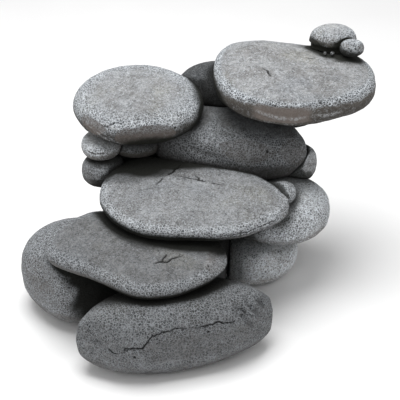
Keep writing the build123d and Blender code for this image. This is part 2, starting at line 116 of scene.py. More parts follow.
# Lines on the stones.  One row a line: stone, the side it is seen from, its points as
# shares of the stone's box, half width, depth, and what it is made as.
CRACK = "crack"
CRUST = "crust"
CREASE = "crease"           # a soft fold, which keeps the stone's colour
LINES = [
    ("middle_slab", "above", [(0.44, 0.85), (0.42, 0.78), (0.39, 0.71), (0.33, 0.61), (0.29, 0.50)],
     0.0012, 0.0022, CRACK),
    ("middle_slab", "above", [(0.38, 0.67), (0.45, 0.62), (0.53, 0.58), (0.60, 0.55), (0.69, 0.51)],
     0.0011, 0.0020, CRACK),
    ("middle_slab", "above", [(0.49, 0.64), (0.52, 0.61), (0.53, 0.56)], 0.0009, 0.0014, CRACK),
    ("middle_slab", "front", [(0.60, 0.25), (0.73, 0.29), (0.86, 0.37), (0.96, 0.46)],
     0.0006, 0.0010, CRACK),
    ("middle_slab", "front", [(0.43, 0.15), (0.60, 0.17), (0.73, 0.21), (0.86, 0.28), (0.94, 0.35)],
     0.0006, 0.0010, CRACK),
    ("middle_slab", "front", [(0.30, 0.23), (0.43, 0.21), (0.58, 0.22), (0.66, 0.25)],
     0.0005, 0.0008, CRACK),
    ("low_slab", "above", [(0.59, 0.25), (0.64, 0.29), (0.68, 0.29), (0.72, 0.34), (0.77, 0.37)],
     0.0010, 0.0016, CRACK),
    ("low_slab", "above", [(0.68, 0.38), (0.66, 0.33), (0.64, 0.28)], 0.0009, 0.0014, CRACK),
    ("low_slab", "above", [(0.88, 0.25), (0.89, 0.31), (0.92, 0.34)], 0.0026, -0.0006, CRUST),
    ("front_base_stone", "front",
     [(0.22, 0.35), (0.26, 0.57), (0.34, 0.57), (0.39, 0.74), (0.50, 0.79), (0.58, 0.76)],
     0.0010, 0.0020, CRACK),
    ("front_base_stone", "front",
     [(0.58, 0.76), (0.64, 0.75), (0.71, 0.77), (0.77, 0.72), (0.83, 0.68)],
     0.0009, 0.0016, CRACK),
    ("front_base_stone", "front", [(0.15, 0.52), (0.20, 0.46), (0.24, 0.50)],
     0.0008, 0.0014, CRACK),
    ("front_base_stone", "front", [(0.84, 0.90), (0.88, 0.78), (0.92, 0.62)],
     0.0028, 0.0042, CREASE),
    ("front_base_stone", "front", [(0.88, 0.90), (0.92, 0.78), (0.95, 0.64)],
     0.0026, 0.0040, CREASE),
    ("front_base_stone", "front", [(0.80, 0.82), (0.85, 0.68), (0.89, 0.52)],
     0.0028, 0.0042, CREASE),
    ("front_base_stone", "front", [(0.78, 0.90), (0.84, 0.78), (0.86, 0.66)],
     0.0022, 0.0034, CREASE),
    ("front_base_stone", "front", [(0.84, 0.80), (0.87, 0.72), (0.90, 0.66)],
     0.0008, 0.0012, CRACK),
    ("front_base_stone", "front", [(0.30, 0.60), (0.36, 0.46), (0.48, 0.36)],
     0.0030, 0.0016, CREASE),
    ("front_base_stone", "front", [(0.04, 0.60), (0.12, 0.55), (0.20, 0.42)],
     0.0036, 0.0022, CREASE),
    ("front_base_stone", "front", [(0.04, 0.46), (0.08, 0.50), (0.13, 0.52)],
     0.0016, -0.0005, CRUST),
    ("front_base_stone", "front", [(0.14, 0.43), (0.18, 0.41), (0.23, 0.35)],
     0.0014, -0.0005, CRUST),
    ("front_base_stone", "front", [(0.40, 0.30), (0.46, 0.33), (0.52, 0.30)],
     0.0014, -0.0004, CRUST),
    ("top_slab", "above", [(0.30, 0.47), (0.33, 0.41), (0.35, 0.34)], 0.0013, 0.0026, CRACK),
    ("top_slab", "above", [(0.66, 0.75), (0.68, 0.72), (0.70, 0.69)], 0.0009, 0.0018, CRACK),
    ("top_slab", "above", [(0.55, 0.62), (0.60, 0.60), (0.64, 0.60)], 0.0007, 0.0006, CRACK),
    ("top_slab", "front",
     [(0.24, 0.40), (0.30, 0.32), (0.36, 0.28), (0.43, 0.27), (0.51, 0.27), (0.56, 0.30)],
     0.0022, -0.0009, CRUST),
    ("top_slab", "front", [(0.56, 0.30), (0.66, 0.28), (0.78, 0.32)], 0.0018, -0.0007, CRUST),
    ("left_top_stone", "front",
     [(0.12, 0.38), (0.19, 0.31), (0.24, 0.25), (0.29, 0.18), (0.34, 0.15)],
     0.0012, -0.0010, CRUST),
    ("left_top_stone", "front", [(0.34, 0.15), (0.38, 0.12), (0.44, 0.10)], 0.0010, -0.0008, CRUST),
    ("left_top_stone", "front", [(0.26, 0.44), (0.31, 0.50), (0.36, 0.56)], 0.0008, 0.0012, CRACK),
    ("left_top_stone", "front", [(0.27, 0.52), (0.33, 0.45), (0.40, 0.42)], 0.0014, -0.0007, CRUST),
    ("left_lower_pebble", "above", [(0.28, 0.33), (0.40, 0.34), (0.54, 0.32)],
     0.0017, 0.0040, CRACK),
    ("left_upper_pebble", "front", [(0.10, 0.60), (0.35, 0.52), (0.70, 0.55)],
     0.0008, 0.0006, CRACK),
    ("neck_stone", "front", [(0.21, 0.96), (0.26, 0.90), (0.30, 0.78), (0.31, 0.62)],
     0.0034, 0.0030, CREASE),
    ("back_stone", "front", [(0.14, 0.80), (0.30, 0.62), (0.50, 0.48)], 0.0044, 0.0018, CREASE),
    ("back_stone", "front", [(0.78, 0.86), (0.86, 0.68), (0.90, 0.48)], 0.0040, 0.0018, CREASE),
    ("left_base_stone", "front", [(0.20, 0.84), (0.26, 0.60), (0.40, 0.36)],
     0.0040, 0.0018, CREASE),
    ("right_middle_stone", "front", [(0.62, 0.80), (0.74, 0.60), (0.80, 0.36)],
     0.0036, 0.0014, CREASE),
]

# The slab with an upright side: the share of its half thickness, and the way that it faces.
UPRIGHT = {"top_slab": (0.56, (-0.22, -0.97, 0))}
SQUARENESS = 3.3            # the power of the curve that the slab's side follows

# The pebble that is drawn in below its middle: how far below, and how deep.
UNDERCUT = {"top_pebble": (0.001, 0.0022)}

# Broken faces.  One row a face: stone, side, place in its box, the way it faces, depth.
BREAKS = [
    ("left_top_stone", "front", (0.38, 0.30), (0.12, -0.95, -0.25), 0.0022),
    ("left_top_stone", "front", (0.20, 0.42), (-0.60, -0.78, 0.10), 0.0020),
    ("middle_slab", "front", (0.97, 0.46), (0.85, -0.30, 0.43), 0.0028),
    ("middle_slab", "above", (0.90, 0.42), (0.40, -0.10, 0.90), 0.0012),
    ("low_slab", "above", (0.90, 0.30), (0.45, -0.25, 0.86), 0.0010),
    ("front_base_stone", "front", (0.18, 0.45), (-0.45, -0.88, 0.12), 0.0030),
    ("front_base_stone", "front", (0.55, 0.45), (0.28, -0.95, 0.05), 0.0026),
    ("front_base_stone", "front", (0.90, 0.60), (0.85, -0.50, 0.15), 0.0016),
    ("right_middle_stone", "front", (0.80, 0.35), (0.70, -0.65, -0.30), 0.0020),
    ("right_base_stone", "front", (0.75, 0.55), (0.55, -0.80, 0.20), 0.0022),
    ("left_base_stone", "front", (0.25, 0.60), (-0.70, -0.65, 0.28), 0.0026),
    ("back_stone", "front", (0.55, 0.65), (0.10, -0.93, 0.35), 0.0024),
    ("back_stone", "front", (0.88, 0.62), (0.60, -0.75, 0.28), 0.0026),
    ("right_small_stone", "front", (0.70, 0.50), (0.80, -0.55, 0.20), 0.0014),
    ("small_top_pebble", "front", (0.90, 0.50), (0.75, -0.60, 0.28), 0.0012),
    ("small_top_pebble", "front", (0.25, 0.75), (-0.50, -0.60, 0.62), 0.0010),
    ("outlet_chips", "front", (0.80, 0.70), (0.20, -0.50, 0.85), 0.0016),
    ("outlet_chips", "front", (0.85, 0.45), (0.70, -0.70, 0.00), 0.0012),
    ("outlet_chips", "front", (0.15, 0.45), (-0.50, -0.60, 0.60), 0.0012),
]

# Round pits: stone, side, place in its box, radius, depth.
PITS = [
    ("top_slab", "front", (0.63, 0.60), 0.0022, 0.0026),
    ("top_slab", "front", (0.36, 0.58), 0.0014, 0.0014),
    ("low_slab", "above", (0.90, 0.28), 0.0012, 0.0018),
    ("front_base_stone", "front", (0.66, 0.66), 0.0016, 0.0016),
    ("front_base_stone", "front", (0.30, 0.44), 0.0018, 0.0016),
    ("left_base_stone", "front", (0.10, 0.48), 0.0014, 0.0014),
    ("back_stone", "front", (0.74, 0.62), 0.0018, 0.0016),
]


# ---------------------------------------------------------------- mesh helpers
def apply_modifiers(piece):
    """Bakes a piece's modifiers into its mesh."""
    graph = bpy.context.evaluated_depsgraph_get()
    mesh = bpy.data.meshes.new_from_object(piece.evaluated_get(graph), depsgraph=graph)
    piece.modifiers.clear()
    piece.data = mesh


def new_piece(name, mesh):
    piece = bpy.data.objects.new(name, mesh)
    bpy.context.scene.collection.objects.link(piece)
    return piece


def remeshed(piece, size):
    """Gives a piece an even mesh of small squares."""
    remesh = piece.modifiers.new("even", "REMESH")
    remesh.mode = "VOXEL"
    remesh.voxel_size = size
    apply_modifiers(piece)


def points_of(mesh):
    co = np.empty(len(mesh.vertices) * 3, np.float32)
    mesh.vertices.foreach_get("co", co)
    return co.reshape(-1, 3).astype(float)


def set_points(mesh, co):
    mesh.vertices.foreach_set("co", co.astype(np.float32).ravel())
    mesh.update()


def normals_of(mesh):
    normals = np.empty(len(mesh.vertices) * 3, np.float32)
    mesh.vertex_normals.foreach_get("vector", normals)
    return normals.reshape(-1, 3).astype(float)


def edges_of(mesh):
    edges = np.empty(len(mesh.edges) * 2, np.int32)
    mesh.edges.foreach_get("vertices", edges)
    return edges.reshape(-1, 2)


def blurred(values, edges, steps, factor=0.5, back=0.0):
    """Values averaged with their neighbours', with a step back that keeps the volume."""
    a, b = edges.T
    count = len(values)
    degree = np.maximum(np.bincount(a, minlength=count) + np.bincount(b, minlength=count), 1)
    values = values.reshape(count, -1).copy()
    for _ in range(steps):
        for share in (factor, back):
            if share == 0:
                continue
            for k in range(values.shape[1]):
                column = values[:, k]
                total = np.bincount(a, column[b], count) + np.bincount(b, column[a], count)
                values[:, k] = column + share * (total / degree - column)
    return values


def smooth_share(value, low, high):
    """0 below low, 1 above high, and a smooth rise between them."""
    share = np.clip((value - low) / (high - low), 0, 1)
    return share * share * (3 - 2 * share)


def get_values(mesh, name):
    values = np.zeros(len(mesh.vertices), np.float32)
    if name in mesh.attributes:
        mesh.attributes[name].data.foreach_get("value", values)
    return values


def set_values(mesh, name, values):
    """Stores one number a vertex as a named attribute."""
    layer = mesh.attributes.get(name) or mesh.attributes.new(name, "FLOAT", "POINT")
    layer.data.foreach_set("value", np.clip(values, 0, 1).astype(np.float32))


def add_values(mesh, name, values):
    set_values(mesh, name, get_values(mesh, name) + values)


def press_in(mesh, depth):
    """Moves each point in along its normal by its own depth."""
    set_points(mesh, points_of(mesh) - normals_of(mesh) * depth[:, None])


# ---------------------------------------------------------------- stones
def rough_stone(node):
    """A stone's CAD solid as an even, smooth mesh."""
    low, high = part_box(node)
    mesh = frame["nodes"][node].data.copy()
    work = bmesh.new()
    work.from_mesh(mesh)
    bmesh.ops.remove_doubles(work, verts=work.verts, dist=1e-6)
    work.to_mesh(mesh)
    work.free()
    mesh.materials.clear()
    piece = new_piece("river_" + node, mesh)
    if node == "outlet_chips":
        voxel = CHIP_VOXEL
    elif (high - low).x < SMALL or node == "rear_door":
        voxel = SMALL_VOXEL
    elif "slab" in node:
        voxel = FINE_VOXEL
    else:
        voxel = VOXEL
    remeshed(piece, voxel)
    steps = DOOR_STEPS if node == "rear_door" else SMOOTH_STEPS
    edges = edges_of(piece.data)
    set_points(piece.data, blurred(points_of(piece.data), edges, steps, 0.5, -0.45))
    return piece


def rims(mesh):
    """How far each point is on a rim, from 0 to 1."""
    co = points_of(mesh)
    edges = edges_of(mesh)
    stand = np.sum((co - blurred(co, edges, RIM_STEPS)) * normals_of(mesh), axis=1)
    return blurred(stand / RIM_HEIGHT, edges, 4)[:, 0]


def ray_fan(count):
    """Evenly spread directions over a half sphere about +Z, closer together near the top."""
    turn = math.pi * (3 - math.sqrt(5))
    for k in range(count):
        height = math.sqrt(1 - (k + 0.5) / count)
        flat = math.sqrt(1 - height * height)
        yield Vector((flat * math.cos(k * turn), flat * math.sin(k * turn), height))


def hollows(mesh, everything):
    """How much each point is shut in by the stones about it, from 0 to 1."""
    fan = list(ray_fan(HOLLOW_RAYS))
    shade = np.zeros(len(mesh.vertices))
    for k, (point, normal) in enumerate(zip(points_of(mesh), normals_of(mesh))):
        normal = Vector(normal)
        turn = Vector((0, 0, 1)).rotation_difference(normal)
        start = Vector(point) + normal * RAY_START
        for ray in fan:
            if everything.ray_cast(start, turn @ ray, HOLLOW_REACH)[0] is not None:
                shade[k] += 1
    return blurred(shade / HOLLOW_RAYS, edges_of(mesh), 5)[:, 0]


def tree_of(pieces):
    """One search tree of several pieces' meshes."""
    points = []
    faces = []
    for piece in pieces:
        first = len(points)
        points += [v.co.copy() for v in piece.data.vertices]
        faces += [[first + i for i in face.vertices] for face in piece.data.polygons]
    return BVHTree.FromPolygons(points, faces)


def clouds(name, size, depth):
    texture = bpy.data.textures.new(name, "CLOUDS")
    texture.noise_scale = size
    texture.noise_depth = depth
    texture.noise_basis = "IMPROVED_PERLIN"
    return texture


LUMPS = [
    (clouds("swell", 0.045, 1), 0.0030),
    (clouds("lumps", 0.013, 2), 0.0011),
    (clouds("grain", 0.0040, 3), 0.00045),
]


def outer_share(node, mesh):
    """How far each point may be lumped: not at all by the door and round its mouth."""
    co = points_of(mesh)
    low, high = (np.array(corner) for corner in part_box("rear_door"))
    inset = np.minimum(co - low, high - co)
    side = np.minimum(inset[:, 0], inset[:, 2])
    if node == "pump_chamber":
        inner = (side > -MOUTH_MARGIN) & (co[:, 1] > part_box("pump_body")[0].y - HOLLOW_START)
        return blurred(1.0 - inner, edges_of(mesh), 2)[:, 0]
    if node == "rear_door":
        return smooth_share(side, MOUTH_MARGIN, 3 * MOUTH_MARGIN) * (normals_of(mesh)[:, 1] > 0.3)
    return np.ones(len(co))


def weather(node, piece):
    """Adds a stone's uneven surface, from broad swells to coarse grain."""
    group = piece.vertex_groups.new(name="outer")
    for k, share in enumerate(outer_share(node, piece.data)):
        group.add([k], float(share), "REPLACE")
    finer = piece.modifiers.new("finer", "SUBSURF")
    finer.levels = finer.render_levels = 1
    small = min(1.0, (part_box(node)[1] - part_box(node)[0]).x / SMALL)
    for texture, height in LUMPS:
        lump = piece.modifiers.new(texture.name, "DISPLACE")
        lump.texture = texture
        lump.texture_coords = "GLOBAL"
        lump.vertex_group = "outer"
        lump.strength = height * small
        lump.mid_level = 0.5
    apply_modifiers(piece)
    piece.vertex_groups.clear()


# ---------------------------------------------------------------- cracks, crusts, chips and pits
def search_tree(piece):
    return BVHTree.FromObject(piece, bpy.context.evaluated_depsgraph_get())


def spot(node, tree, side, place):
    """The point of a stone's surface at a place in its box, seen from above or in front.

    A place just off the stone is drawn in towards the middle of the box until it is on it.
    """
    low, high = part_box(node)
    size = high - low
    for pull in (1.0, 0.95, 0.9, 0.8, 0.6, 0.3, 0.0):
        across, up = (0.5 + pull * (share - 0.5) for share in place)
        if side == "above":
            start = Vector((low.x + across * size.x, low.y + up * size.y, high.z + BEYOND))
            way = Vector((0, 0, -1))
        else:
            start = Vector((low.x + across * size.x, low.y - BEYOND, low.z + up * size.z))
            way = Vector((0, 1, 0))
        point = tree.ray_cast(start, way)[0]
        if point:
            return point
    raise ValueError(f"{node} has no surface at {place} seen from {side}")


def trace(node, tree, side, places):
    """A wandering line over a stone's surface, through a few places in its box."""
    low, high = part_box(node)
    size = high - low
    tall = size.y if side == "above" else size.z
    line = []
    for (x0, y0), (x1, y1) in zip(places, places[1:]):
        length = math.hypot((x1 - x0) * size.x, (y1 - y0) * tall)
        count = max(2, round(length / LINE_STEP))
        for k in range(count):
            share = k / count
            x = x0 + share * (x1 - x0)
            y = y0 + share * (y1 - y0)
            sway = Vector()
            for layer, (scale, reach) in enumerate(WANDER):
                sway += noise.noise_vector(Vector((x * size.x, y * tall, layer)) * scale) * reach
            line.append(spot(node, tree, side, (x + sway.x / size.x, y + sway.y / tall)))
    return np.array(line)


def gap_to(points, line, reach):
    """How far each point is from a line, up to reach, and the nearest share of the line."""
    gap = np.full(len(points), reach)
    share = np.zeros(len(points))
    close = np.all((points > line.min(0) - reach) & (points < line.max(0) + reach), axis=1)
    index = np.flatnonzero(close)
    for part in np.array_split(index, len(index) // 2000 + 1):
        gaps = np.linalg.norm(points[part][:, None] - line[None], axis=2)
        gap[part] = np.minimum(reach, gaps.min(1))
        share[part] = gaps.argmin(1) / len(line)
    return gap, share


def split_near(mesh, line, reach):
    """Halves the edges of a mesh near a line, so that thin marks have enough points."""
    near = gap_to(points_of(mesh), line, reach)[0] < reach
    work = bmesh.new()
    work.from_mesh(mesh)
    edges = [edge for edge in work.edges if all(near[v.index] for v in edge.verts)]
    bmesh.ops.subdivide_edges(work, edges=edges, cuts=1, use_grid_fill=True)
    bmesh.ops.triangulate(work, faces=[face for face in work.faces if len(face.verts) > 4])
    work.to_mesh(mesh)
    work.free()


def draw_line(mesh, line, width, depth, kind):
    """Cuts a crack or crease into a stone, or raises a pale crust on it, along a line."""
    gap, share = gap_to(points_of(mesh), line, 5 * width)
    nearest = np.minimum((share * len(line)).astype(int), len(line) - 1)
    taper = np.sqrt(np.clip(np.sin(math.pi * np.clip(share, 0.02, 0.98)), 0, 1))
    uneven = np.array([noise.noise(Vector(point) * 420) for point in line])
    uneven = 1 + 0.5 * uneven[nearest]
    breaks = np.array([noise.noise(Vector(point) * 95 + Vector((3, 7, 1))) for point in line])
    taper = taper * (0.35 + 0.65 * smooth_share(breaks[nearest], -0.45, -0.15))
    profile = np.exp(-((gap / (width * uneven)) ** 2)) * taper
    press_in(mesh, profile * depth)
    add_values(mesh, kind, profile)


def break_face(node, mesh, tree, side, place, facing, depth):
    """Knocks a flat, rough face off a stone."""
    facing = np.array(facing) / np.linalg.norm(facing)
    middle = np.array(spot(node, tree, side, place)) - facing * depth
    co = points_of(mesh)
    over = (co - middle) @ facing
    raised = np.flatnonzero(over > -0.001)
    for k in raised:
        over[k] += sum(noise.noise(Vector(co[k]) * scale) * size for scale, size in BREAK_NOISE)
    over = np.maximum(over, 0)
    set_points(mesh, co - over[:, None] * facing * BREAK_SHARE)
    add_values(mesh, "chip", smooth_share(over, 0, CHIP_EDGE))


def dig_pit(mesh, middle, radius, depth):
    """Presses a small round pit into a stone."""
    gap = gap_to(points_of(mesh), middle, 4 * radius)[0]
    profile = np.exp(-((gap / radius) ** 2))
    press_in(mesh, profile * depth)
    add_values(mesh, CRACK, profile)


def flatten_side(mesh, height, turned):
    """Makes the rounded side of a slab upright between crisp edges, where it faces one way.

    Height is the share of the slab's half thickness that becomes upright.
    """
    co = points_of(mesh)
    middle = (co.min(0) + co.max(0)) / 2
    thin = np.linalg.eigh(np.cov((co - middle).T))[1][:, 0]
    rise = (co - middle) @ thin
    share = np.abs(rise) / np.abs(rise).max()
    out = co - middle - rise[:, None] * thin
    facing = out @ np.array(turned) / (np.linalg.norm(out, axis=1) + 1e-9)
    edge = np.array([height + 0.07 * noise.noise(Vector(point) * 40) for point in co])
    edge *= smooth_share(facing, 0.45, 0.90)
    drawn = (1 - edge**SQUARENESS) / (1 - np.minimum(share, edge) ** SQUARENESS)
    drawn = drawn ** (1 / SQUARENESS)
    set_points(mesh, co + blurred(out * (drawn - 1)[:, None], edges_of(mesh), 5))
    on_side = np.linalg.norm(out, axis=1) > 0.6 * np.linalg.norm(out, axis=1).max()
    face = on_side * smooth_share(edge - share, 0, 0.20) * smooth_share(facing, 0.84, 0.97)
    add_values(mesh, "chip", face)


def undercut(mesh, level, depth):
    """Draws a stone in below a level, which leaves a crisp edge there."""
    co = points_of(mesh)
    normals = normals_of(mesh)
    edge = np.array([level + noise.noise(Vector(point) * 130) * 0.0012 for point in co])
    below = smooth_share(edge - co[:, 2], 0, 0.0012) * (1 - np.abs(normals[:, 2]))
    flat = normals * (1, 1, 0)
    set_points(mesh, co - flat * (below * depth)[:, None])
    add_values(mesh, "chip", below)


def mark(node, piece):
    """Gives a stone its broken faces, its pits and its cracks and crusts."""
    mesh = piece.data
    if node in UPRIGHT:
        flatten_side(mesh, *UPRIGHT[node])
    tree = search_tree(piece)
    for name, *row in BREAKS:
        if name == node:
            break_face(node, mesh, tree, *row)
    if node in UNDERCUT:
        low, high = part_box(node)
        below, depth = UNDERCUT[node]
        undercut(mesh, (low.z + high.z) / 2 - below, depth)
    tree = search_tree(piece)
    lines = [(trace(node, tree, *row[:2]), *row[2:]) for name, *row in LINES if name == node]
    pits = [
        (np.array([spot(node, tree, *row[:2])]), *row[2:]) for name, *row in PITS if name == node
    ]
    if not lines + pits:
        return
    everywhere = np.concatenate([row[0] for row in lines + pits])
    for reach in SPLIT_REACHES:
        split_near(mesh, everywhere, reach)
    for row in lines:
        draw_line(mesh, *row)
    for row in pits:
        dig_pit(mesh, *row)


# ---------------------------------------------------------------- materials
class Nodes:
    """Short names for the shader nodes that these materials are made of."""

    def __init__(self, name):
        self.material = bpy.data.materials.new(name)
        self.material.use_nodes = True
        self.nodes = self.material.node_tree.nodes
        self.links = self.material.node_tree.links
        self.shader = self.nodes["Principled BSDF"]
        self.place = self.nodes.new("ShaderNodeTexCoord").outputs["Object"]

    def link(self, value, socket):
        if isinstance(value, bpy.types.NodeSocket):
            self.links.new(value, socket)
        else:
            socket.default_value = value

    def finish(self, colour, rough, bump=None):
        """Links the colour, roughness and bump that a material ends in."""
        self.link(colour, self.shader.inputs["Base Color"])
        self.link(rough, self.shader.inputs["Roughness"])
        if bump:
            self.link(bump, self.shader.inputs["Normal"])
        return self.material

    def noise(self, scale, detail=2.0, rough=0.5, warp=0.0, place=None):
        node = self.nodes.new("ShaderNodeTexNoise")
        node.inputs["Scale"].default_value = scale
        node.inputs["Detail"].default_value = detail
        node.inputs["Roughness"].default_value = rough
        node.inputs["Distortion"].default_value = warp
        self.links.new(place or self.place, node.inputs["Vector"])
        return node.outputs["Fac"]

    def cells(self, scale, place):
        node = self.nodes.new("ShaderNodeTexVoronoi")
        node.feature = "DISTANCE_TO_EDGE"
        node.inputs["Scale"].default_value = scale
        self.links.new(place, node.inputs["Vector"])
        return node.outputs["Distance"]

    def bands(self, scale, along, warp=0.0):
        node = self.nodes.new("ShaderNodeTexWave")
        node.bands_direction = along
        node.inputs["Scale"].default_value = scale
        node.inputs["Distortion"].default_value = warp
        self.links.new(self.place, node.inputs["Vector"])
        return node.outputs["Fac"]

    def stretched(self, x, y, z):
        """The place, scaled unevenly, for brushed and drawn surfaces."""
        node = self.nodes.new("ShaderNodeVectorMath")
        node.operation = "MULTIPLY"
        self.links.new(self.place, node.inputs[0])
        node.inputs[1].default_value = (x, y, z)
        return node.outputs[0]

    def warped(self, scale, amount):
        """The place, shifted about by noise."""
        node = self.nodes.new("ShaderNodeTexNoise")
        node.inputs["Scale"].default_value = scale
        self.links.new(self.place, node.inputs["Vector"])
        add = self.nodes.new("ShaderNodeVectorMath")
        add.operation = "MULTIPLY_ADD"
        self.links.new(node.outputs["Color"], add.inputs[0])
        add.inputs[1].default_value = (amount, amount, amount)
        self.links.new(self.place, add.inputs[2])
        return add.outputs[0]

    def value(self, name):
        node = self.nodes.new("ShaderNodeAttribute")
        node.attribute_name = name
        return node.outputs["Fac"]

    def math(self, kind, a, b=0.0, clamp=False):
        node = self.nodes.new("ShaderNodeMath")
        node.operation = kind
        node.use_clamp = clamp
        self.link(a, node.inputs[0])
        self.link(b, node.inputs[1])
        return node.outputs[0]

    def spread(self, value, low, high, to_low=0.0, to_high=1.0):
        node = self.nodes.new("ShaderNodeMapRange")
        node.interpolation_type = "SMOOTHSTEP"
        self.link(value, node.inputs["Value"])
        node.inputs["From Min"].default_value = low
        node.inputs["From Max"].default_value = high
        node.inputs["To Min"].default_value = to_low
        node.inputs["To Max"].default_value = to_high
        return node.outputs["Result"]

    def mix(self, share, a, b, kind="MIX"):
        node = self.nodes.new("ShaderNodeMix")
        node.data_type = "RGBA"
        node.blend_type = kind
        self.link(share, node.inputs[0])
        self.link(a, node.inputs[6])
        self.link(b, node.inputs[7])
        return node.outputs[2]

    def bump(self, height, distance, strength, under=None):
        node = self.nodes.new("ShaderNodeBump")
        node.inputs["Distance"].default_value = distance
        node.inputs["Strength"].default_value = strength
        self.link(height, node.inputs["Height"])
        if under is not None:
            self.link(under, node.inputs["Normal"])
        return node.outputs["Normal"]


def grey(level, warm=0.0):
    """A grey, warmer or cooler by a small share."""
    return (level * (1 + warm), level, level * (1 - warm), 1)


def stone_material(name, level, brown, speckle, shade, shut):
    """River stone: speckled grey, crackled pale at its rims, brown sides, with painted shade on its
    sides, on its rims and in its hollows.
    """
    n = Nodes(name)
    rim = n.value("rim")
    hollow = n.value("hollow")
    top = n.math("SUBTRACT", n.math("MULTIPLY", n.value("top"), 2.0), 1.0)
    grain = n.noise(640, 3, 0.75, 1.2)
    fleck = n.noise(430, 4, 0.8, 1.0)
    patch = n.noise(42, 3, 0.6)
    mottle = n.noise(130, 3, 0.65, 0.4)
    tint = n.noise(19, 2, 0.5)
    coarse = n.noise(230, 5, 0.85, 1.6)
    coarse_share = min(max(speckle - 1, 0), 1)
    veins = n.cells(380, n.warped(500, 0.0022))

    # patches of two greys, tinted here and there
    swing = 0.11 + 0.20 * coarse_share
    darker = grey(level * (1 - swing), 0.01)
    lighter = grey(level * (1 + swing), -0.015)
    base = n.mix(n.spread(patch, 0.35, 0.65), darker, lighter)
    base = n.mix(n.spread(tint, 0.55, 0.70, 0, 0.45), base, (level * 1.03, level, level * 0.86, 1))
    base = n.mix(n.spread(tint, 0.45, 0.30, 0, 0.50), base, (level * 0.88, level * 0.93, level, 1))
    base = n.mix(1.0, base, n.spread(mottle, 0.30, 0.70, 0.78, 1.18), "MULTIPLY")
    # sides that face out or down keep the darker brown of the bare stone, and painted shade darkens
    # them further
    lean = n.math("ADD", top, n.math("MULTIPLY", n.math("SUBTRACT", patch, 0.5), 0.6))
    side = n.spread(lean, 0.30, 0.70, 1, 0)
    bare = (level * (0.80 + 0.08 * brown), level * 0.78, level * (0.78 - 0.10 * brown), 1)
    base = n.mix(n.math("MULTIPLY", side, 0.45 + 0.5 * brown), base, bare)
    # painted shade: sides are darkened by how far they turn from the top; a negative shade setting
    # paints them lighter instead
    base = n.mix(1.0, base, n.spread(lean, -0.40, 1.05, 1 - 0.85 * shade, 1.0), "MULTIPLY")
    chip = n.value("chip")
    broken = n.spread(n.math("ADD", chip, n.math("MULTIPLY", mottle, 0.6)), 0.45, 1.15)
    earth = (level * 0.66, level * 0.56, level * 0.50, 1)
    base = n.mix(n.math("MULTIPLY", broken, 0.9 * brown), base, earth)
    base = n.mix(coarse_share, base, n.spread(coarse, 0.36, 0.64, 0.50, 1.42), "MULTIPLY")
    # the speckle is strongest in a band along the rims
    plain = 1 - brown
    band = n.spread(rim, 0.12, 0.55, 0.30 * plain, 1)
    band = n.math("MULTIPLY", band, n.spread(lean, 0.02 - 0.7 * plain, 0.35 - 0.5 * plain))
    # painted shade: the rim band fades where other stones shut the point in
    band = n.math("MULTIPLY", band, n.spread(hollow, 0.35, 0.75, 1, 0.25))
    calm = n.spread(lean, -0.1, 0.55, 0.85 - 0.55 * brown, 0.90)
    calm = n.math("MULTIPLY", calm, n.spread(chip, 0, 1, 1, 1 - 0.7 * brown))
    band = n.math("MULTIPLY", band, n.spread(chip, 0, 1, 1, 1 - 0.9 * brown))
    contrast = n.math("ADD", n.math("MULTIPLY", band, 0.40), calm)
    drift = n.noise(75, 3, 0.6, 0.5)
    contrast = n.math("MULTIPLY", contrast, n.spread(drift, 0.36, 0.60, 0.55, 1.25))
    contrast = n.math("MULTIPLY", contrast, speckle, clamp=True)
    specks = n.math("MULTIPLY", n.spread(grain, 0.54, 0.34), contrast)
    base = n.mix(specks, base, grey(0.30, -0.06), "MULTIPLY")
    blots = n.math("MULTIPLY", n.spread(coarse, 0.54, 0.38), band)
    base = n.mix(blots, base, grey(0.50, -0.08), "MULTIPLY")
    bright = n.math("MULTIPLY", band, n.spread(patch, 0.40, 0.60, 1 - 0.8 * coarse_share, 1))
    bright = n.math("MULTIPLY", n.spread(coarse, 0.50, 0.64), bright)
    base = n.mix(bright, base, grey(level * 1.7, -0.05))
    # painted shade: the rim band is darkened, more on browner stones
    base = n.mix(n.math("MULTIPLY", band, 0.85 * brown), base, grey(0.50, -0.05), "MULTIPLY")
    pale = n.math("MULTIPLY", n.spread(fleck, 0.50, 0.66), contrast)
    base = n.mix(pale, base, grey(level * 1.7, -0.05))
    lace = n.math("MULTIPLY", n.spread(veins, 0.10, 0.02), n.math("MULTIPLY", band, 0.8 * speckle))
    base = n.mix(lace, base, grey(min(level * 2.3, 0.85), -0.05))
    # crusts, cracks, and painted shade in the hollows
    crust = n.math("MULTIPLY", n.spread(n.value(CRUST), 0.1, 0.7), n.spread(fleck, 0.40, 0.58))
    base = n.mix(n.math("MULTIPLY", crust, 0.75), base, grey(min(level * 2.2, 0.45), -0.02))
    base = n.mix(n.spread(n.value(CRACK), 0.25, 0.8, 0, 0.9), base, grey(level * 0.10, 0.05))
    # painted shade: points shut in by other stones are darkened almost to black
    hollow_shade = n.math("MULTIPLY", n.spread(hollow, 0.05, 0.38), 0.98 * shut)
    base = n.mix(hollow_shade, base, (level * 0.036, level * 0.038, level * 0.028, 1))
    n.shader.inputs["Specular IOR Level"].default_value = 0.22
    grit = n.bump(grain, 0.0005, 0.7)
    pits = n.bump(fleck, 0.0011, 0.8, grit)
    pits = n.bump(coarse, 0.0020, 0.3 + 0.6 * coarse_share, pits)
    return n.finish(base, n.spread(fleck, 0.3, 0.7, 0.74, 0.93), pits)


